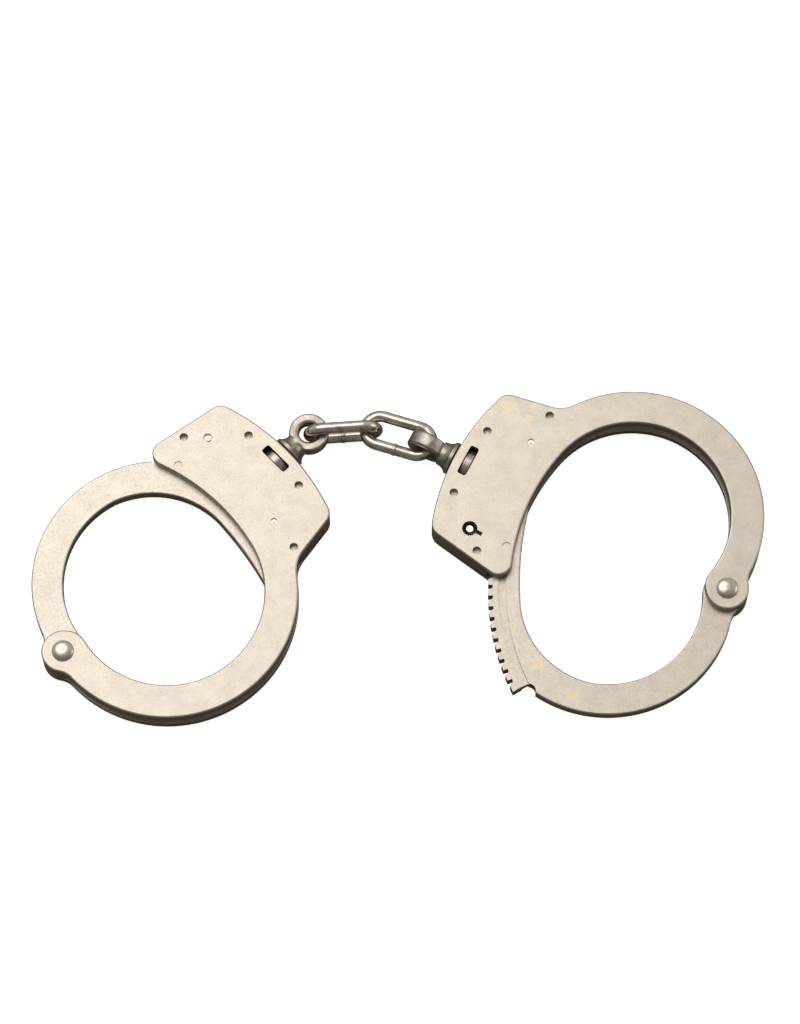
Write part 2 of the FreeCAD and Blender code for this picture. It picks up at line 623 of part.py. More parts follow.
def strand(label):
    body = new_body(label)
    bottom, top = f"-{MOVING_THICKNESS} / 2", f"{MOVING_THICKNESS} / 2"
    shape = new_sketch(body, "arm", bottom)
    cut_turn = f"({NOSE_TURN} + {MM_TO_DEGREES} * dims.nose_cut / {TOOTH_TIP})"
    nose = [polar(NOSE_INNER, cut_turn), polar(f"({NOSE_INNER} + dims.nose_cut)", NOSE_TURN),
            polar(f"({TOOTH_TIP} - dims.nose_cut)", NOSE_TURN)]
    end_cut = polar(TOOTH_TIP, END_CUT_TURN)
    relief = polar(f"({ARM_START} + dims.end_cut_rise)", f"({END_CUT_TURN} - dims.end_cut_lean)")
    widening = (f"{RING_DISTANCE} + dims.ring_inner_radius * cos(dims.widening_start)",
                "dims.ring_inner_radius * sin(dims.widening_start)")
    straight = polar(RATCHET_INNER, "dims.widening_end")
    outline(shape, [
        (*polar(TOOTH_TIP, cut_turn), ("about", "0", "0", TOOTH_TIP, 1)),
        end_cut,
        (*relief, ("bulge", "dims.relief_radius", -1)),
        (ARM_START_X, ARM_START_Y, ("about", RING_DISTANCE, "0", STRAND_OUTER, 1)),
        (f"({RING_DISTANCE} - {STRAND_OUTER})", "0"),
        (*polar("dims.boss_radius", "-dims.boss_start"), ("bulge", "dims.boss_radius", 1)),
        ("dims.pivot_inset", "0", ("about", RING_DISTANCE, "0", "dims.ring_inner_radius", -1)),
        (*widening, ("bulge", "dims.ring_inner_radius - dims.widening_tightness", -1)),
        (*straight, ("bulge", f"{RATCHET_INNER} + dims.nose_taper_ease", -1)),
        *nose,
    ])
    pad(body, shape, MOVING_THICKNESS)
    boss = new_sketch(body, "boss", bottom)
    circle(boss, "0", "0", "dims.boss_radius")
    pad(body, boss, MOVING_THICKNESS)
    round_upright(body, "boss_blend", [arm_hollow(STRAND_OUTER, 1)], "dims.boss_blend")
    # The ratchet keeps its square edges; the arm that is held is rounded.
    for name, height in (("top_rim", top), ("bottom_rim", bottom)):
        round_face(body, name, value(height), "dims.strand_edge", value(RATCHET_INNER) + 0.1)

    hole = new_sketch(body, "pivot_hole", top)
    circle(hole, "0", "0", "dims.pivot_radius + dims.running_fit")
    pocket(body, hole, MOVING_THICKNESS)
    for name, height in (("top_groove", top), ("bottom_groove", bottom)):
        groove = new_sketch(body, name, height)
        before = f"({NOSE_TURN} - dims.guide_groove_run)"
        after = f"({ARM_START_TURN} + dims.guide_groove_end)"
        outline(groove, [
            (*polar(GROOVE_OUTER, before), ("about", "0", "0", GROOVE_OUTER, 1)),
            polar(GROOVE_OUTER, after),
            (*polar(GROOVE_INNER, after), ("about", "0", "0", GROOVE_INNER, -1)),
            polar(GROOVE_INNER, before),
        ])
        pocket(body, groove, "dims.guide_groove_depth", upwards=height == bottom)

    # Each gap has a steep face that the lock bar holds and a ramp it rides up.
    notch = new_sketch(body, "notch", top, LAST_NOTCH_TURN)
    outline(notch, notch_corners("0"))
    cut = pocket(body, notch, MOVING_THICKNESS)
    ratchet = body.newObject("PartDesign::PolarPattern", f"{label}_ratchet")
    ratchet.Originals = [cut]
    ratchet.Axis = (notch, ["N_Axis"])
    ratchet.setExpression("Occurrences", "dims.notch_count")
    ratchet.setExpression("Angle", f"(dims.notch_count - 1) * {PITCH}")
    body.Tip = ratchet
    doc.recompute()
    return body


def notch_corners(inset):
    """A tooth gap about the X axis, drawn smaller all round by an inset."""
    reach = f"({TOOTH_TIP} + dims.tooth_reach)"
    root = f"({TOOTH_TIP} - dims.tooth_depth + {inset})"
    steep = f"(-dims.tooth_root / 2 + {inset})"
    ramp_root = f"(dims.tooth_root / 2 - {inset})"
    slope = "((dims.tooth_mouth - dims.tooth_root) / dims.tooth_depth)"
    return [(root, steep), (reach, steep),
            (reach, f"{ramp_root} + {slope} * ({reach} - {root})"), (root, ramp_root)]


# ---- turned pieces ----


def pivot_rivet(label):
    body = new_body(label)
    sketch = new_sketch(body, "profile", plane="XZ_Plane")
    crown = f"({OUTER_FACE} + dims.pivot_head_height)"
    # The dome runs level into the small flat crown.
    spread = "(dims.pivot_head_radius - dims.pivot_crown_radius)"
    dome = f"(({spread}^2 + dims.pivot_head_height^2) / (2 * dims.pivot_head_height))"
    outline(sketch, [
        ("0", f"-{crown}"),
        ("dims.pivot_crown_radius", f"-{crown}", ("bulge", dome, 1)),
        ("dims.pivot_head_radius", f"-{OUTER_FACE}"),
        ("dims.pivot_radius", f"-{OUTER_FACE}"),
        ("dims.pivot_radius", OUTER_FACE),
        ("dims.pivot_head_radius", OUTER_FACE, ("bulge", dome, 1)),
        ("dims.pivot_crown_radius", crown),
        ("0", crown),
    ])
    revolve(body, sketch, "V_Axis")
    return body


def key_post(label, side):
    """Post that the hollow key fits over; side is the keyhole's side."""
    body = new_body(label)
    base = f"{-side} * dims.cheek_gap / 2"
    tip = f"{side} * ({OUTER_FACE} - dims.post_sink)"
    tenon_end = f"{-side} * ({OUTER_FACE} - dims.post_tenon_sink)"
    barrel = new_sketch(body, "barrel", base if side > 0 else tip)
    circle(barrel, POST_X, "dims.post_offset", "dims.post_radius")
    pad(body, barrel, "dims.cheek_gap + dims.plate_thickness - dims.post_sink")
    tenon = new_sketch(body, "tenon", tenon_end if side > 0 else base)
    circle(tenon, POST_X, "dims.post_offset", "dims.post_tenon_radius")
    pad(body, tenon, "dims.plate_thickness - dims.post_tenon_sink")
    return body


def post_cylinder(name, x, y, radius, low, height):
    pin = doc.addObject("Part::Cylinder", name)
    pin.setExpression("Radius", radius)
    pin.setExpression("Height", height)
    pin.setExpression("Placement.Base.x", x)
    pin.setExpression("Placement.Base.y", y)
    pin.setExpression("Placement.Base.z", low)
    return pin


def cluster(label, pieces):
    group = doc.addObject("Part::Compound", label)
    group.Label = label
    group.Links = pieces
    doc.recompute()
    return group


def cheek_rivets(label):
    low = f"-({OUTER_FACE} - dims.rivet_sink)"
    height = f"2 * ({OUTER_FACE} - dims.rivet_sink)"
    places = [(FRONT_RIVET_X, "dims.front_rivet_offset"), (SIDE_RIVET_X, "dims.side_rivet_offset")]
    pieces = []
    for x, y in places:
        for sign in ("", "-"):
            name = f"{label}_{len(pieces) + 1}"
            pieces.append(post_cylinder(name, x, sign + y, "dims.rivet_radius", low, height))
    return cluster(label, pieces)


def guide_studs(label):
    """One stud in each cheek, its nose in the strand's guide groove."""
    floor = "(dims.cheek_gap / 2 - dims.side_play - dims.guide_groove_depth)"
    nose = f"({floor} + dims.guide_stud_gap)"
    top = f"({OUTER_FACE} - dims.guide_stud_sink)"
    height = f"{top} - {nose}"
    pieces = []
    for name, low in ((f"{label}_upper", nose), (f"{label}_lower", f"-{top}")):
        pieces.append(post_cylinder(name, STUD_X, "dims.guide_stud_offset",
                                    "dims.guide_stud_radius", low, height))
    return cluster(label, pieces)


def lock_bar_pin(label):
    body = new_body(label)
    for name, radius, end in (
            ("pin", "dims.lock_pin_radius", f"({OUTER_FACE} - dims.lock_pin_recess_depth)"),
            ("ends", "dims.lock_pin_end_radius", f"({OUTER_FACE} - dims.lock_pin_sink)")):
        sketch = new_sketch(body, name, f"-{end}")
        circle(sketch, LOCK_PIN_X, "-dims.lock_pin_offset", radius)
        pad(body, sketch, f"2 * {end}")
    return body


# ---- the lock: bar, slide and their leaf springs ----

PIN_TURN = f"(-asin(dims.lock_pin_offset / {LOCK_PIN_REACH}) / 1deg)"
HEEL_TURN = f"({PIN_TURN} - {MM_TO_DEGREES} * dims.bar_heel / {LOCK_PIN_REACH})"
TOE_Y = "(dims.post_offset - dims.post_radius - dims.key_wall - dims.bar_toe_gap)"
TOE_TURN = f"(asin({TOE_Y} / {BAR_BACK}) / 1deg)"
# The bar's outermost tooth sits in the tooth gap nearest its named place.
GAPS_TO_BAR = f"round((dims.open_turn + {NOTCH_TURN} - dims.bar_tooth_place) / {PITCH})"
BAR_TOOTH_TURN = f"(dims.open_turn + {NOTCH_TURN} - {GAPS_TO_BAR} * {PITCH})"
BUMP_TOP = f"({SLIDE_INNER} - dims.slide_gap)"


def lock_bar(label):
    body = new_body(label)
    low, high = f"-{MOVING_THICKNESS} / 2", f"{MOVING_THICKNESS} / 2"
    bar = new_sketch(body, "bar", low)
    outline(bar, [
        (*polar(CHANNEL, HEEL_TURN), ("about", "0", "0", CHANNEL, 1)),
        polar(CHANNEL, TOE_TURN),
        (*polar(BAR_BACK, TOE_TURN), ("about", "0", "0", BAR_BACK, -1)),
        polar(BAR_BACK, HEEL_TURN),
    ])
    pad(body, bar, MOVING_THICKNESS)
    heel = [Vector(value(p[0]), value(p[1])) for p in
            (polar(CHANNEL, HEEL_TURN), polar(BAR_BACK, HEEL_TURN))]
    round_upright(body, "heel", heel, "dims.bar_heel_rounding")
    bump = new_sketch(body, "bump", low)
    box_outline(bump, f"{BAR_BACK} - dims.bar_width / 4", "dims.bump_offset - dims.bump_width / 2",
                BUMP_TOP, "dims.bump_offset + dims.bump_width / 2")
    pad(body, bump, MOVING_THICKNESS)
    hole = new_sketch(body, "pin_hole", high)
    circle(hole, LOCK_PIN_X, "-dims.lock_pin_offset", "dims.lock_pin_radius + dims.running_fit")
    pocket(body, hole, MOVING_THICKNESS)
    tooth = new_sketch(body, "tooth", low, f"{BAR_TOOTH_TURN} - (dims.bar_teeth - 1) * {PITCH}")
    outline(tooth, notch_corners("dims.mesh_play"))
    first = pad(body, tooth, MOVING_THICKNESS)
    teeth = body.newObject("PartDesign::PolarPattern", f"{label}_teeth")
    teeth.Originals = [first]
    teeth.Axis = (tooth, ["N_Axis"])
    teeth.setExpression("Occurrences", "dims.bar_teeth")
    teeth.setExpression("Angle", f"(dims.bar_teeth - 1) * {PITCH}")
    body.Tip = teeth
    doc.recompute()
    return body


def locking_slide(label, slot_side):
    """Slide that blocks the bump on the lock bar's back once it is pushed in."""
    body = new_body(label)
    low, high = f"-{MOVING_THICKNESS} / 2", f"{MOVING_THICKNESS} / 2"
    bar = new_sketch(body, "bar", low)
    box_outline(bar, SLIDE_INNER, "-dims.slide_tail", SLIDE_OUTER, "dims.slide_head")
    pad(body, bar, MOVING_THICKNESS)
    hollow = new_sketch(body, "hollow", high)
    before = "(dims.bump_width / 2 + dims.slide_notch_before)"
    after = "(dims.bump_width / 2 + dims.slide_notch_after)"
    box_outline(hollow, f"{SLIDE_INNER} - dims.slide_gap", f"dims.bump_offset - {before}",
                f"{SLIDE_INNER} + dims.slide_notch_depth", f"dims.bump_offset + {after}")
    pocket(body, hollow, MOVING_THICKNESS)
    start = low if slot_side < 0 else f"{high} - dims.stem_height"
    stem = new_sketch(body, "stem", start)
    edge = "(dims.front_half_width + dims.case_flare - dims.stem_recess)"
    box_outline(stem, f"{SLIDE_INNER} + dims.stem_shoulder", f"-{edge}",
                f"{SLIDE_OUTER} - dims.stem_shoulder", "-dims.slide_tail + dims.slide_depth / 2")
    pad(body, stem, "dims.stem_height")
    return body


def leaf_spring(label, foot_x, y_low, y_high, rise):
    """A bowed strip whose feet stand on foot_x and whose back rises along +X."""
    body = new_body(label)
    height = f"({MOVING_THICKNESS} - dims.spring_side_room)"
    sketch = new_sketch(body, "strip", f"-{height} / 2")
    half = f"(({y_high}) - ({y_low})) / 2"
    outer = f"((({half})^2 + ({rise})^2) / (2 * ({rise})))"
    inner_rise = f"({rise} - dims.spring_strip)"
    inner = f"((({half})^2 + {inner_rise}^2) / (2 * {inner_rise}))"
    outline(sketch, [
        (foot_x, y_low, ("bulge", outer, 1)),
        (foot_x, y_high),
        (foot_x, f"{y_high} - dims.spring_foot", ("bulge", inner, -1)),
        (foot_x, f"{y_low} + dims.spring_foot"),
    ])
    pad(body, sketch, height)
    return body


# ---- swivel and chain ----


def round_rings(body, name, places, ring_radius, radius):
    """Rounds the rings of a given radius round the X axis at the given places."""
    edges = []
    for number, edge in enumerate(body.Shape.Edges, start=1):
        box = edge.BoundBox
        at_place = any(abs(box.XMin - value(place)) < 1e-4 for place in places)
        if at_place and box.XLength < 1e-4 and abs(box.YMax - value(ring_radius)) < 1e-4:
            edges.append(f"Edge{number}")
    fillet(body, name, edges, radius)


def round_eye(body, name, reach, radius):
    """Rounds the edges of the eye's flat faces within reach of its centre, along X."""
    edges = []
    for number, edge in enumerate(body.Shape.Edges, start=1):
        box = edge.BoundBox
        flat = box.ZLength < 1e-4 and abs(abs(box.ZMin) - value("dims.eye_thickness / 2")) < 1e-4
        if flat and box.XMin > value(f"{EYE_X} - {reach}") - 1e-3:
            edges.append(f"Edge{number}")
    fillet(body, name, edges, radius)


def swivel(label):
    """Swivel in the cuff's frame, with the hole of its eye along Z."""
    body = new_body(label)
    eye = new_sketch(body, "eye", "-dims.eye_thickness / 2")
    circle(eye, EYE_X, "0", EYE_OUTER)
    pad(body, eye, "dims.eye_thickness")
    round_eye(body, "eye_rims", EYE_OUTER, "dims.eye_rim_edge")

    turned_part = new_sketch(body, "profile", plane="XZ_Plane")
    head_low = f"({HEAD_X} - dims.swivel_head_thickness / 2)"
    head_high = f"({HEAD_X} + dims.swivel_head_thickness / 2)"
    collar_low = f"({CASE_FRONT} + dims.collar_gap)"
    collar_high = f"({collar_low} + dims.collar_thickness)"
    neck_end = f"({EYE_X} - dims.neck_reach)"
    outline(turned_part, [
        (head_low, "0"),
        (neck_end, "0"),
        (neck_end, "dims.neck_radius", ("bulge", "dims.neck_flare", -1)),
        (collar_high, "dims.collar_radius"),
        (collar_low, "dims.collar_radius"),
        (collar_low, "dims.shank_radius"),
        (head_high, "dims.shank_radius"),
        (head_high, "dims.swivel_head_radius"),
        (head_low, "dims.swivel_head_radius"),
    ])
    revolve(body, turned_part, "H_Axis")
    round_rings(body, "head_rims", (head_low, head_high), "dims.swivel_head_radius",
                "dims.swivel_head_edge")
    round_rings(body, "collar_rim", (collar_low,), "dims.collar_radius", "dims.collar_edge")

    hole = new_sketch(body, "eye_hole", "dims.eye_thickness / 2")
    circle(hole, EYE_X, "0", EYE_HOLE)
    pocket(body, hole, "dims.eye_thickness")
    round_eye(body, "hole_rims", EYE_HOLE, "dims.eye_hole_edge")
    return body


def chain_link(label):
    """Welded oval link in the XY plane; its first end's wire centre is at 0."""
    straight = f"(dims.link_pitch - 2 * {LINK_BEND})"
    pieces = []
    for name, x, turn in (("near_bend", LINK_BEND, 90),
                          ("far_bend", f"dims.link_pitch - {LINK_BEND}", -90)):
        bend = doc.addObject("Part::Torus", f"{label}_{name}")
        bend.setExpression("Radius1", LINK_BEND)
        bend.setExpression("Radius2", "dims.wire_radius")
        bend.Angle3 = 180
        bend.Placement = Placement(Vector(value(x), 0, 0), Rotation(Vector(0, 0, 1), turn))
        bend.setExpression("Placement.Base.x", x)
        pieces.append(bend)
    for name, side in (("upper_side", 1), ("lower_side", -1)):
        wire = doc.addObject("Part::Cylinder", f"{label}_{name}")
        wire.Placement = Placement(Vector(), Rotation(Vector(0, 1, 0), 90))
        wire.setExpression("Radius", "dims.wire_radius")
        wire.setExpression("Height", straight)
        wire.setExpression("Placement.Base.x", LINK_BEND)
        wire.setExpression("Placement.Base.y", f"{side} * {LINK_BEND}")
        pieces.append(wire)
    weld = doc.addObject("Part::Ellipsoid", f"{label}_weld")
    weld.Placement = Placement(Vector(), Rotation(Vector(0, 1, 0), 90))
    weld.setExpression("Radius1", "dims.weld_half_length")
    weld.setExpression("Radius2", "dims.wire_radius + dims.weld_rise")
    weld.setExpression("Radius3", "dims.wire_radius + dims.weld_rise")
    weld.setExpression("Placement.Base.x", "dims.link_pitch / 2")
    weld.setExpression("Placement.Base.y", f"-{LINK_BEND}")
    pieces.append(weld)
    link = doc.addObject("Part::MultiFuse", label)
    link.Label = label
    link.Shapes = pieces
    doc.recompute()
    return link


# ---- the whole object ----

nodes = []


def cuff(name, side, strand_turn, eye_roll, placement):
    """One cuff.  Side is 1 where the keyhole faces up and -1 where it faces down."""
    fixed = [
        cheek(f"{name}_keyhole_cheek", side, True),
        cheek(f"{name}_plain_cheek", -side, False),
        spacer(f"{name}_case_spacer", -side),
        pivot_rivet(f"{name}_pivot_rivet"),
        cheek_rivets(f"{name}_cheek_rivets"),
        guide_studs(f"{name}_guide_studs"),
        key_post(f"{name}_key_post", side),
        lock_bar_pin(f"{name}_lock_bar_pin"),
        lock_bar(f"{name}_lock_bar"),
        locking_slide(f"{name}_locking_slide", -side),
        leaf_spring(f"{name}_lock_bar_spring", f"({BAR_BACK} + dims.spring_gap)",
                    "dims.bar_spring_start", "dims.bar_spring_end",
                    f"{SLIDE_INNER} - {BAR_BACK} - 2 * dims.spring_gap"),
        leaf_spring(f"{name}_slide_spring", f"({SLIDE_OUTER} + dims.spring_gap)",
                    "dims.slide_spring_start", "dims.slide_spring_end",
                    "dims.spring_room - 2 * dims.spring_gap"),
    ]
    for piece in fixed:
        piece.Placement = placement
    arm = strand(f"{name}_strand")
    arm.Placement = placement * Placement(Vector(), Rotation(Vector(0, 0, 1), value(strand_turn)))
    eye = swivel(f"{name}_swivel")
    eye.Placement = placement * Placement(Vector(), Rotation(Vector(1, 0, 0), eye_roll))
    nodes.extend(fixed + [arm, eye])


def heading(angle):
    return Vector(cos(radians(angle)), sin(radians(angle)), 0)


middle = Vector(0, 0, value(f"{OUTER_FACE} + dims.pivot_head_height"))
left_swing, right_swing = value("dims.left_swing"), value("dims.right_swing")
left_link_swing, right_link_swing = value("dims.left_link_swing"), value("dims.right_link_swing")
pitch = value("dims.link_pitch")
crossing = value("2 * dims.wire_radius + dims.link_play")

left_pivot = middle
left_eye = left_pivot + heading(left_swing) * value(EYE_X)
link_crossing = left_eye + heading(left_link_swing) * pitch
right_link_start = link_crossing - heading(right_link_swing) * crossing
right_eye = (right_link_start + heading(right_link_swing) * (pitch - value("dims.chain_slack"))
             - heading(right_link_swing + 90) * value("dims.chain_side_slack"))
right_pivot = right_eye - heading(right_swing) * value(EYE_X)

turn_z = Vector(0, 0, 1)
left_turn = f"dims.open_turn - dims.left_notches_closed * {PITCH}"
cuff("left", -1, left_turn, 0, Placement(left_pivot, Rotation(turn_z, left_swing)))
cuff("right", 1, "dims.open_turn", 90, Placement(right_pivot, Rotation(turn_z, right_swing)))

left_link = chain_link("left_chain_link")
upright = Rotation(Vector(1, 0, 0), 90)
left_link.Placement = Placement(left_eye, Rotation(turn_z, left_link_swing) * upright)
right_link = chain_link("right_chain_link")
right_link.Placement = Placement(right_link_start, Rotation(turn_z, right_link_swing))
nodes.extend([left_link, right_link])
doc.recompute()

# The origin is on the table, under the middle of the whole object.
whole = FreeCAD.BoundBox()
for node in nodes:
    whole.add(node.Shape.optimalBoundingBox(False))
shift = Vector(-whole.Center.x, -whole.Center.y, 0)
for node in nodes:
    node.Placement = Placement(shift, Rotation()) * node.Placement
doc.recompute()

for thing in doc.Objects:
    if "Invalid" in thing.State or "Error" in thing.State:
        raise RuntimeError(f"{thing.Label} failed: {thing.State}")
os.makedirs("parts", exist_ok=True)
for node in nodes:
    shape = node.Shape
    if shape.isNull() or not shape.isValid():
        raise RuntimeError(f"{node.Label} has no valid shape")
    shape.exportStep(f"parts/{node.Label}.step")
    print(f"{node.Label:26s} solids {len(shape.Solids)}  volume {shape.Volume:9.1f} mm3")

places = {"left pivot": left_pivot, "left eye": left_eye, "link crossing": link_crossing,
          "right eye": right_eye, "right pivot": right_pivot}
for name, point in places.items():
    point = point + shift
    print(f"{name:14s} {point.x:9.4f} {point.y:9.4f} {point.z:9.4f}")
print(f"size {whole.XLength:.2f} x {whole.YLength:.2f} x {whole.ZLength:.2f} mm")
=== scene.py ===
import math

import bpy
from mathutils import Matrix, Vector


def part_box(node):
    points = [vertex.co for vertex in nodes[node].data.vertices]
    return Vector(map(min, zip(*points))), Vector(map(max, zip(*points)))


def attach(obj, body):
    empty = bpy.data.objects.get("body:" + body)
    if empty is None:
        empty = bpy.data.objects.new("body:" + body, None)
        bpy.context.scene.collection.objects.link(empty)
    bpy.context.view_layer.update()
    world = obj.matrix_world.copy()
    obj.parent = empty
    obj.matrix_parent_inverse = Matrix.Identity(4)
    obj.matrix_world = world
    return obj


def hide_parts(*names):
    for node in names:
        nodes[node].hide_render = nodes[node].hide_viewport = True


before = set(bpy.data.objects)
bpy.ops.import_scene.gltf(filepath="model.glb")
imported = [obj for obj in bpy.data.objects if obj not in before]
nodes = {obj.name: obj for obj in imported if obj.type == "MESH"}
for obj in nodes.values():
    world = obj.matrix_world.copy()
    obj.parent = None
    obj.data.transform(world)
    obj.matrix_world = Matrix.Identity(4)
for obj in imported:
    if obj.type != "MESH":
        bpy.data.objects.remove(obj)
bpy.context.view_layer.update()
scene = bpy.context.scene
millimetre = 0.001

# Where the swivel axis of each cuff points, in degrees from +X, with the centres of
# its pivot and of its swivel's eye in mm.
cuffs = {
    "left": {"heading": 43.9, "pivot": (-104.230, -32.054), "eye": (-28.356, 40.962)},
    "right": {"heading": 152.5, "pivot": (102.680, -11.662), "eye": (9.278, 36.960)},
}
midHeight = 6.8      # mm, middle of the gap between the cheeks
cheekGap = 4.8       # mm


def linearColour(hexText):
    parts = [int(hexText[i:i + 2], 16) / 255 for i in (1, 3, 5)]
    parts = [p / 12.92 if p <= 0.04045 else ((p + 0.055) / 1.055) ** 2.4 for p in parts]
    return (*parts, 1.0)


def addNode(tree, kind, inputs=None, **settings):
    node = tree.nodes.new(kind)
    for name, setting in settings.items():
        setattr(node, name, setting)
    for key, source in (inputs or {}).items():
        if isinstance(source, bpy.types.NodeSocket):
            tree.links.new(source, node.inputs[key])
        else:
            node.inputs[key].default_value = source
    return node


def newMaterial(name, base, metallic, roughness):
    material = bpy.data.materials.new(name)
    material.use_nodes = True
    shader = material.node_tree.nodes["Principled BSDF"]
    shader.inputs["Base Color"].default_value = linearColour(base)
    shader.inputs["Metallic"].default_value = metallic
    shader.inputs["Roughness"].default_value = roughness
    return material, material.node_tree, shader


# Nickel plate on bead-blasted steel: a soft, even grey whose grain the light only
# just picks out. Lengths in mm; the grain is drawn about twice as coarse as it is.
# The wall colour is painted shade for the plate walls, and the seam colour is a painted shadow where plate
# meets plate.
satin = {
    "face": "#DFD7CC", "wall": "#A69D91", "shadedSeam": "#1A1613", "grain": 0.44, "mottle": 6.0,
    "pits": 1.5, "roughness": 0.38, "stain": "#E4D3AC", "seamShadeReach": 0.42,
}
# Yellowed spots in the plating, as a point on a face and a reach, in mm.
stains = [(34.2, 48.5, 12.3, 3.4), (35.6, 46.9, 12.3, 2.2), (41.0, 44.2, 12.3, 3.0),
          (43.0, -36.0, 9.1, 3.2), (53.7, -45.2, 9.1, 3.2)]


def satinNickel(name, spots=()):
    material, tree, shader = newMaterial(name, satin["face"], 1.0, satin["roughness"])
    coordinates = addNode(tree, "ShaderNodeTexCoord")
    place = coordinates.outputs["Object"]
    mottle = addNode(tree, "ShaderNodeTexNoise", {
        "Vector": place, "Scale": 1 / (satin["mottle"] * millimetre), "Detail": 6.0, "Roughness": 0.65})
    grain = addNode(tree, "ShaderNodeTexNoise", {
        "Vector": place, "Scale": 1 / (satin["grain"] * millimetre), "Detail": 3.0, "Roughness": 0.7})
    pits = addNode(tree, "ShaderNodeTexVoronoi", {
        "Vector": place, "Scale": 1 / (satin["pits"] * millimetre)})
    # Clouds of light and shade, fine grain and small dark pits multiply into one tone.
    cloud = addNode(tree, "ShaderNodeMapRange", {
        "Value": mottle.outputs["Fac"], "From Min": 0.3, "From Max": 0.7, "To Min": 0.84, "To Max": 1.0})
    speckle = addNode(tree, "ShaderNodeMapRange", {
        "Value": grain.outputs["Fac"], "From Min": 0.3, "From Max": 0.56, "To Min": 0.84, "To Max": 1.0})
    pitDepth = addNode(tree, "ShaderNodeMapRange", {
        "Value": pits.outputs["Distance"], "From Min": 0.03, "From Max": 0.12, "To Min": 0.62, "To Max": 1.0})
    blotch = addNode(tree, "ShaderNodeMath", {
        0: cloud.outputs["Result"], 1: speckle.outputs["Result"]}, operation="MULTIPLY")
    tone = addNode(tree, "ShaderNodeMath", {
        0: blotch.outputs[0], 1: pitDepth.outputs["Result"]}, operation="MULTIPLY")
    colour = addNode(tree, "ShaderNodeMix", {
        0: 1.0, 6: linearColour(satin["face"]), 7: tone.outputs[0]},
        data_type="RGBA", blend_type="MULTIPLY").outputs[2]
    fray = addNode(tree, "ShaderNodeTexNoise", {
        "Vector": place, "Scale": 1 / (2.2 * millimetre), "Detail": 4.0, "Roughness": 0.6})
    for x, y, z, reach in spots:
        # The noise frays each spot, and the steep range gives it a crisp outline.
        offset = addNode(tree, "ShaderNodeVectorMath", {
            0: place, 1: (x * millimetre, y * millimetre, z * millimetre)}, operation="DISTANCE")
        near = addNode(tree, "ShaderNodeMapRange", {
            "Value": offset.outputs["Value"], "From Max": reach * millimetre, "To Min": 1.0, "To Max": 0.0})
        frayed = addNode(tree, "ShaderNodeMath", {
            0: fray.outputs["Fac"], 1: 2.0, 2: near.outputs["Result"]}, operation="MULTIPLY_ADD")
        patch = addNode(tree, "ShaderNodeMapRange", {
            "Value": frayed.outputs[0], "From Min": 1.38, "From Max": 1.5, "To Max": 0.6})
        colour = addNode(tree, "ShaderNodeMix", {
            0: patch.outputs["Result"], 6: colour, 7: linearColour(satin["stain"])},
            data_type="RGBA").outputs[2]
    # The sheared walls of the plates are painted darker than the faces as painted shade, with a painted
    # shadow in a band where plate meets plate.
    facing = addNode(tree, "ShaderNodeSeparateXYZ", {0: coordinates.outputs["Normal"]})
    upright = addNode(tree, "ShaderNodeMath", {0: facing.outputs["Z"]}, operation="ABSOLUTE")
    # Painted shade: upright faces take the darker wall colour.
    wall = addNode(tree, "ShaderNodeMapRange", {
        "Value": upright.outputs[0], "From Min": 0.15, "From Max": 0.8, "To Min": 1.0, "To Max": 0.0})
    height = addNode(tree, "ShaderNodeSeparateXYZ", {0: place})
    middle = addNode(tree, "ShaderNodeMath", {
        0: height.outputs["Z"], 1: midHeight * millimetre}, operation="SUBTRACT")
    apart = addNode(tree, "ShaderNodeMath", {0: middle.outputs[0]}, operation="ABSOLUTE")
    shadedSeam = addNode(tree, "ShaderNodeMath", {
        0: apart.outputs[0], 1: cheekGap / 2 * millimetre}, operation="SUBTRACT")
    fromSeam = addNode(tree, "ShaderNodeMath", {0: shadedSeam.outputs[0]}, operation="ABSOLUTE")
    # Painted shadow: a near-black band along the walls where each plate meets the gap between the plates.
    seamShadeMask = addNode(tree, "ShaderNodeMapRange", {
        "Value": fromSeam.outputs[0], "From Max": satin["seamShadeReach"] * millimetre,
        "To Min": 1.0, "To Max": 0.0})
    grainedWallShade = addNode(tree, "ShaderNodeMix", {
        0: 1.0, 6: linearColour(satin["wall"]), 7: tone.outputs[0]}, data_type="RGBA", blend_type="MULTIPLY")
    # The painted seam shadow is mixed over the painted wall shade.
    wallColour = addNode(tree, "ShaderNodeMix", {
        0: seamShadeMask.outputs["Result"], 6: grainedWallShade.outputs[2], 7: linearColour(satin["shadedSeam"])}, data_type="RGBA")
    finished = addNode(tree, "ShaderNodeMix", {
        0: wall.outputs["Result"], 6: colour, 7: wallColour.outputs[2]}, data_type="RGBA")
    tree.links.new(finished.outputs[2], shader.inputs["Base Color"])
    rough = addNode(tree, "ShaderNodeMapRange", {
        "Value": grain.outputs["Fac"], "From Min": 0.3, "From Max": 0.7,
        "To Min": satin["roughness"] + 0.08, "To Max": satin["roughness"] - 0.05})
    tree.links.new(rough.outputs["Result"], shader.inputs["Roughness"])
    relief = addNode(tree, "ShaderNodeBump", {
        "Height": grain.outputs["Fac"], "Distance": 0.03 * millimetre, "Strength": 0.5})
    pitted = addNode(tree, "ShaderNodeBump", {
        "Height": pitDepth.outputs["Result"], "Distance": 0.04 * millimetre, "Strength": 0.4,
        "Normal": relief.outputs["Normal"]})
    tree.links.new(pitted.outputs["Normal"], shader.inputs["Normal"])
    return material


# Barrel-polished nickel: a bright, soft sheen with a faint haze of fine scratches.
polished = {"colour": "#DDD6CA", "scratch": 0.5, "roughness": 0.24}


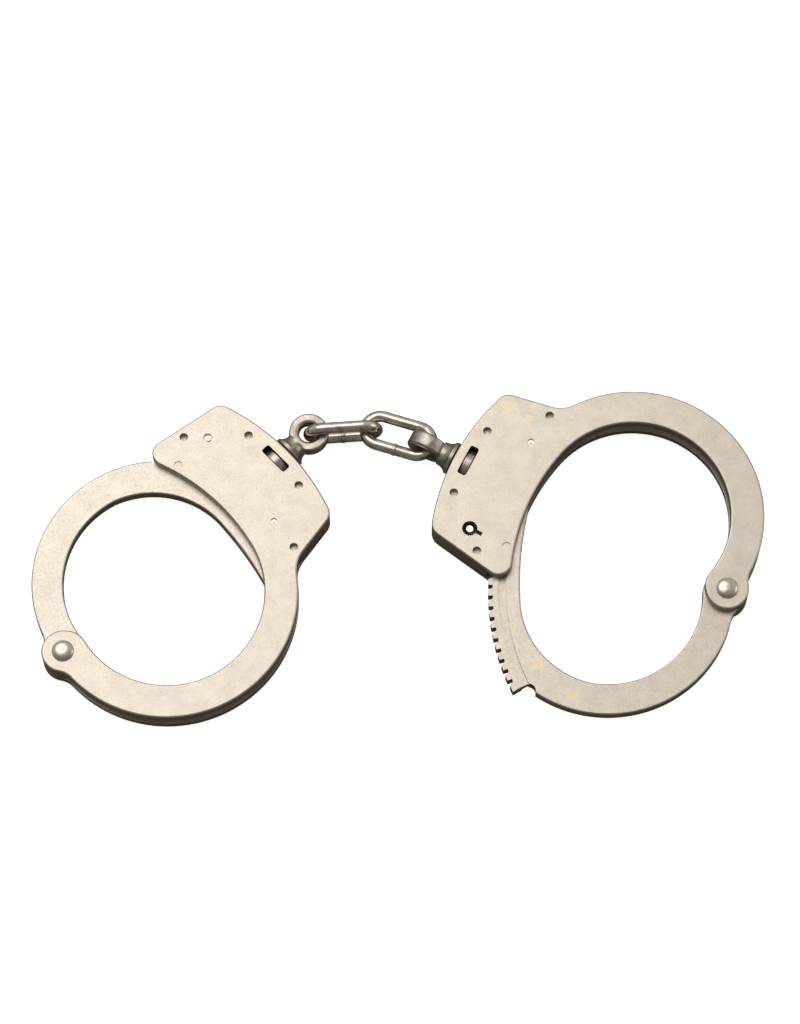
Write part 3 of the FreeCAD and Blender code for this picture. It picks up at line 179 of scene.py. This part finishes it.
def polishedNickel(name):
    material, tree, shader = newMaterial(name, polished["colour"], 1.0, polished["roughness"])
    coordinates = addNode(tree, "ShaderNodeTexCoord")
    haze = addNode(tree, "ShaderNodeTexNoise", {
        "Vector": coordinates.outputs["Object"], "Scale": 1 / (polished["scratch"] * millimetre),
        "Detail": 4.0})
    rough = addNode(tree, "ShaderNodeMapRange", {
        "Value": haze.outputs["Fac"], "To Min": polished["roughness"] - 0.08,
        "To Max": polished["roughness"] + 0.1})
    tree.links.new(rough.outputs["Result"], shader.inputs["Roughness"])
    tone = addNode(tree, "ShaderNodeMapRange", {
        "Value": haze.outputs["Fac"], "From Min": 0.3, "From Max": 0.7, "To Min": 0.86, "To Max": 1.0})
    colour = addNode(tree, "ShaderNodeMix", {
        0: 1.0, 6: linearColour(polished["colour"]), 7: tone.outputs["Result"]},
        data_type="RGBA", blend_type="MULTIPLY")
    tree.links.new(colour.outputs[2], shader.inputs["Base Color"])
    return material


# Lathe-turned steel, thinly plated: light grey, with rings round the swivel's axis
# and round the hole of its eye. The rings are drawn about three times too coarse.
turned = {"colour": "#D2CBC0", "dark": "#A39B90", "pitch": 0.55, "eyeReach": 6.2, "roughness": 0.30}


def turnedSteel(name, cuff):
    material, tree, shader = newMaterial(name, turned["colour"], 1.0, turned["roughness"])
    coordinates = addNode(tree, "ShaderNodeTexCoord")
    place = coordinates.outputs["Object"]
    heading = math.radians(cuff["heading"])
    eye = (cuff["eye"][0] * millimetre, cuff["eye"][1] * millimetre, midHeight * millimetre)
    along = addNode(tree, "ShaderNodeVectorMath", {
        0: place, 1: (math.cos(heading), math.sin(heading), 0.0)}, operation="DOT_PRODUCT")
    outward = addNode(tree, "ShaderNodeVectorMath", {0: place, 1: eye}, operation="DISTANCE")
    onEye = addNode(tree, "ShaderNodeMath", {
        0: outward.outputs["Value"], 1: turned["eyeReach"] * millimetre}, operation="LESS_THAN")
    travel = addNode(tree, "ShaderNodeMix", {
        0: onEye.outputs[0], 2: along.outputs["Value"], 3: outward.outputs["Value"]})
    phase = addNode(tree, "ShaderNodeMath", {
        0: travel.outputs[0], 1: 2 * math.pi / (turned["pitch"] * millimetre)}, operation="MULTIPLY")
    ring = addNode(tree, "ShaderNodeMath", {0: phase.outputs[0]}, operation="SINE")
    wear = addNode(tree, "ShaderNodeTexNoise", {
        "Vector": place, "Scale": 1 / (2.5 * millimetre), "Detail": 5.0, "Roughness": 0.65})
    groove = addNode(tree, "ShaderNodeMapRange", {
        "Value": ring.outputs[0], "From Min": -1.0, "To Min": 0.76, "To Max": 1.0})
    tone = addNode(tree, "ShaderNodeMapRange", {
        "Value": wear.outputs["Fac"], "From Min": 0.35, "From Max": 0.6})
    base = addNode(tree, "ShaderNodeMix", {
        0: tone.outputs["Result"], 6: linearColour(turned["dark"]), 7: linearColour(turned["colour"])},
        data_type="RGBA")
    colour = addNode(tree, "ShaderNodeMix", {
        0: 1.0, 6: base.outputs[2], 7: groove.outputs["Result"]}, data_type="RGBA", blend_type="MULTIPLY")
    tree.links.new(colour.outputs[2], shader.inputs["Base Color"])
    relief = addNode(tree, "ShaderNodeBump", {
        "Height": ring.outputs[0], "Distance": 0.02 * millimetre, "Strength": 0.5})
    tree.links.new(relief.outputs["Normal"], shader.inputs["Normal"])
    return material


# Drawn and welded wire: bright where it is rubbed, with a browned patch at the weld.
wire = {"colour": "#E0D9CD", "dark": "#A59C90", "weld": "#948675", "roughness": 0.17}


def chainSteel(name, weldPlace):
    material, tree, shader = newMaterial(name, wire["colour"], 1.0, wire["roughness"])
    coordinates = addNode(tree, "ShaderNodeTexCoord")
    place = coordinates.outputs["Object"]
    wear = addNode(tree, "ShaderNodeTexNoise", {
        "Vector": place, "Scale": 1 / (2.6 * millimetre), "Detail": 5.0, "Roughness": 0.62})
    tone = addNode(tree, "ShaderNodeMapRange", {
        "Value": wear.outputs["Fac"], "From Min": 0.32, "From Max": 0.52})
    base = addNode(tree, "ShaderNodeMix", {
        0: tone.outputs["Result"], 6: linearColour(wire["dark"]), 7: linearColour(wire["colour"])},
        data_type="RGBA")
    offset = addNode(tree, "ShaderNodeVectorMath", {0: place, 1: weldPlace}, operation="DISTANCE")
    near = addNode(tree, "ShaderNodeMapRange", {
        "Value": offset.outputs["Value"], "From Min": 1.0 * millimetre, "From Max": 2.9 * millimetre,
        "To Min": 1.0, "To Max": 0.0})
    colour = addNode(tree, "ShaderNodeMix", {
        0: near.outputs["Result"], 6: base.outputs[2], 7: linearColour(wire["weld"])}, data_type="RGBA")
    tree.links.new(colour.outputs[2], shader.inputs["Base Color"])
    rough = addNode(tree, "ShaderNodeMapRange", {
        "Value": wear.outputs["Fac"], "To Min": wire["roughness"] + 0.08, "To Max": wire["roughness"] - 0.06})
    tree.links.new(rough.outputs["Result"], shader.inputs["Roughness"])
    relief = addNode(tree, "ShaderNodeBump", {
        "Height": wear.outputs["Fac"], "Distance": 0.06 * millimetre, "Strength": 0.4})
    tree.links.new(relief.outputs["Normal"], shader.inputs["Normal"])
    return material


# Ground, hardened steel of the lock works: oiled and dark, with grinding lines.
grind = 4.2     # mm, length of a grinding line


def groundSteel(name, base, roughness):
    material, tree, shader = newMaterial(name, base, 1.0, roughness)
    coordinates = addNode(tree, "ShaderNodeTexCoord")
    stretched = addNode(tree, "ShaderNodeMapping", {
        "Vector": coordinates.outputs["Object"], "Scale": (1.0, 12.0, 4.0)})
    lines = addNode(tree, "ShaderNodeTexNoise", {
        "Vector": stretched.outputs["Vector"], "Scale": 1 / (grind * millimetre), "Detail": 3.0})
    tone = addNode(tree, "ShaderNodeMapRange", {
        "Value": lines.outputs["Fac"], "From Min": 0.3, "From Max": 0.7, "To Min": 0.7, "To Max": 1.0})
    colour = addNode(tree, "ShaderNodeMix", {
        0: 1.0, 6: linearColour(base), 7: tone.outputs["Result"]}, data_type="RGBA", blend_type="MULTIPLY")
    tree.links.new(colour.outputs[2], shader.inputs["Base Color"])
    relief = addNode(tree, "ShaderNodeBump", {
        "Height": lines.outputs["Fac"], "Distance": 0.02 * millimetre, "Strength": 0.4})
    tree.links.new(relief.outputs["Normal"], shader.inputs["Normal"])
    return material


def giveMaterial(thing, material):
    thing.data.materials.clear()
    thing.data.materials.append(material)


plainSatin = satinNickel("beadBlastedNickel")
spottedSatin = satinNickel("beadBlastedNickelSpotted", stains)
brightNickel = polishedNickel("barrelPolishedNickel")
lockSteel = groundSteel("groundLockSteel", "#5E5B57", 0.36)
bluedSteel = groundSteel("bluedSpringSteel", "#3E4046", 0.3)
weldIn = {"left": 1.8, "right": 4.0}     # mm, in from the edge of the link's box
for side, cuff in cuffs.items():
    plates = spottedSatin if side == "right" else plainSatin
    dressed = {
        plates: ("keyhole_cheek", "plain_cheek", "strand", "case_spacer", "guide_studs", "cheek_rivets"),
        brightNickel: ("pivot_rivet", "key_post", "lock_bar_pin"),
        lockSteel: ("lock_bar", "locking_slide"),
        bluedSteel: ("lock_bar_spring", "slide_spring"),
        turnedSteel(f"turnedSwivelSteel_{side}", cuff): ("swivel",),
    }
    for material, parts in dressed.items():
        for part in parts:
            giveMaterial(nodes[f"{side}_{part}"], material)
    # The weld sits halfway along one straight side: the lower on the upright left
    # link, the nearer on the flat right link.
    low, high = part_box(f"{side}_chain_link")
    centre = (low + high) / 2
    if side == "left":
        weldPlace = (centre.x, centre.y, low.z + weldIn["left"] * millimetre)
    else:
        weldPlace = (centre.x, low.y + weldIn["right"] * millimetre, centre.z)
    giveMaterial(nodes[f"{side}_chain_link"], chainSteel(f"weldedChainSteel_{side}", weldPlace))
print("materials made")


def deselectAll():
    bpy.ops.object.select_all(action="DESELECT")


def pickCap(piece, way):
    # Selects the one end face, which is the face furthest out along Z.
    bpy.ops.object.mode_set(mode="OBJECT")
    faces = piece.data.polygons
    best = max(range(len(faces)), key=lambda i: (round(way * faces[i].center.z, 7), faces[i].area))
    for group in (faces, piece.data.edges, piece.data.vertices):
        for item in group:
            item.select = False
    faces[best].select = True
    bpy.ops.object.mode_set(mode="EDIT")
    bpy.ops.mesh.select_mode(type="FACE")


# Each pivot rivet has a domed head on both sides with a small drill mark in its crown.
rivet = {
    "head": 3.45, "crown": 13.6, "face": 12.3, "rings": 9,
    "mark": 0.42, "markEdge": 0.12, "markDepth": 0.22,
}


def pivotRivet(side, cuff):
    deselectAll()
    x, y = (v * millimetre for v in cuff["pivot"])
    headHeight = rivet["crown"] - rivet["face"]
    bpy.ops.mesh.primitive_cylinder_add(vertices=72, radius=rivet["head"] * millimetre,
                                        depth=2 * (rivet["face"] - midHeight) * millimetre,
                                        location=(x, y, midHeight * millimetre))
    piece = bpy.context.object
    piece.name = f"pivotRivet_{side}"
    bpy.ops.object.mode_set(mode="EDIT")
    for way in (1, -1):
        # The dome rises in rings, each further in and level at the crown.
        height, reach = 0.0, rivet["head"]
        for step in range(1, rivet["rings"] + 1):
            turn = math.pi / 2 * step / (rivet["rings"] + 1)
            newReach = rivet["head"] * math.cos(turn)
            newHeight = headHeight * math.sin(turn)
            pickCap(piece, way)
            bpy.ops.mesh.inset(thickness=(reach - newReach) * millimetre, depth=0)
            bpy.ops.transform.translate(value=(0, 0, way * (newHeight - height) * millimetre))
            height, reach = newHeight, newReach
        pickCap(piece, way)
        bpy.ops.mesh.inset(thickness=max(reach - rivet["mark"], 0.02) * millimetre, depth=0)
        bpy.ops.mesh.inset(thickness=rivet["markEdge"] * millimetre, depth=0)
        bpy.ops.transform.translate(value=(0, 0, -way * rivet["markDepth"] * millimetre))
    bpy.ops.object.mode_set(mode="OBJECT")
    deselectAll()
    piece.select_set(True)
    bpy.ops.object.transform_apply(location=True, rotation=True, scale=True)
    bpy.ops.object.shade_smooth_by_angle(angle=math.radians(40))
    giveMaterial(piece, brightNickel)
    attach(piece, f"{side}_frame")
    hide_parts(f"{side}_pivot_rivet")


for side, cuff in cuffs.items():
    pivotRivet(side, cuff)
print("pivot rivets made")

deselectAll()
bpy.ops.mesh.primitive_plane_add(size=6.0, location=(0, 0, 0))
floor = bpy.context.object
floor.name = "tableTop"
tableLift = 0.85
# The steel sees a darker table than the eye does, which keeps its undersides dark.
floorMaterial, floorTree, floorShader = newMaterial("paleTableTop", "#F4F3F1", 0.0, 0.9)
ray = addNode(floorTree, "ShaderNodeLightPath")
floorTone = addNode(floorTree, "ShaderNodeMix", {
    0: ray.outputs["Is Glossy Ray"], 6: linearColour("#F6F5F3"), 7: linearColour("#8A837B")},
    data_type="RGBA")
floorTree.links.new(floorTone.outputs[2], floorShader.inputs["Base Color"])
floorShader.inputs["Emission Color"].default_value = linearColour("#FFFFFF")
# Lifts the table to white for the eye alone, so that it throws no light on the steel.
lift = addNode(floorTree, "ShaderNodeMath", {
    0: ray.outputs["Is Camera Ray"], 1: tableLift}, operation="MULTIPLY")
floorTree.links.new(lift.outputs[0], floorShader.inputs["Emission Strength"])
giveMaterial(floor, floorMaterial)

skyStrength = 0.6
world = bpy.data.worlds.new("studio")
scene.world = world
world.use_nodes = True
sky = world.node_tree
backdrop = sky.nodes["Background"]
direction = addNode(sky, "ShaderNodeTexCoord")
upwards = addNode(sky, "ShaderNodeSeparateXYZ", {0: direction.outputs["Generated"]})
# Darker low down in front, where the walls of the plates look.
forward = addNode(sky, "ShaderNodeMapRange", {
    "Value": upwards.outputs["Y"], "From Min": -0.6, "From Max": 0.5, "To Min": 0.25, "To Max": 1.0})
skyTone = addNode(sky, "ShaderNodeMix", {
    0: forward.outputs["Result"], 6: linearColour("#635E56"), 7: linearColour("#F2EEE8")}, data_type="RGBA")
sky.links.new(skyTone.outputs[2], backdrop.inputs["Color"])
backdrop.inputs["Strength"].default_value = skyStrength

lamps = {
    "overhead": {"place": (-0.32, 0.42, 1.05), "size": 1.1, "power": 4.5, "colour": "#FFFAF2"},
    "sideFill": {"place": (0.95, 0.10, 0.45), "size": 0.6, "power": 0.8, "colour": "#FFFBF5"},
}
for name, lamp in lamps.items():
    light = bpy.data.lights.new(name, "AREA")
    light.shape = "DISK"
    light.size = lamp["size"]
    light.energy = lamp["power"]
    light.color = linearColour(lamp["colour"])[:3]
    holder = bpy.data.objects.new(name, light)
    holder.location = lamp["place"]
    holder.rotation_euler = (-Vector(lamp["place"])).to_track_quat("-Z", "Y").to_euler()
    scene.collection.objects.link(holder)

view = {"elevation": 72.0, "distance": 1.41, "lens": 158.0, "aim": (0.0005, 0.0133, 0.0123)}
cameraData = bpy.data.cameras.new("viewer")
cameraData.sensor_fit = "VERTICAL"
cameraData.sensor_height = 36.0
cameraData.lens = view["lens"]
camera = bpy.data.objects.new("viewer", cameraData)
tilt = math.radians(view["elevation"])
away = Vector((0.0, -math.cos(tilt), math.sin(tilt)))
camera.location = Vector(view["aim"]) + away * view["distance"]
camera.rotation_euler = (-away).to_track_quat("-Z", "Y").to_euler()
scene.collection.objects.link(camera)
scene.camera = camera
scene.view_settings.view_transform = "Standard"
print("stage, light and camera set")
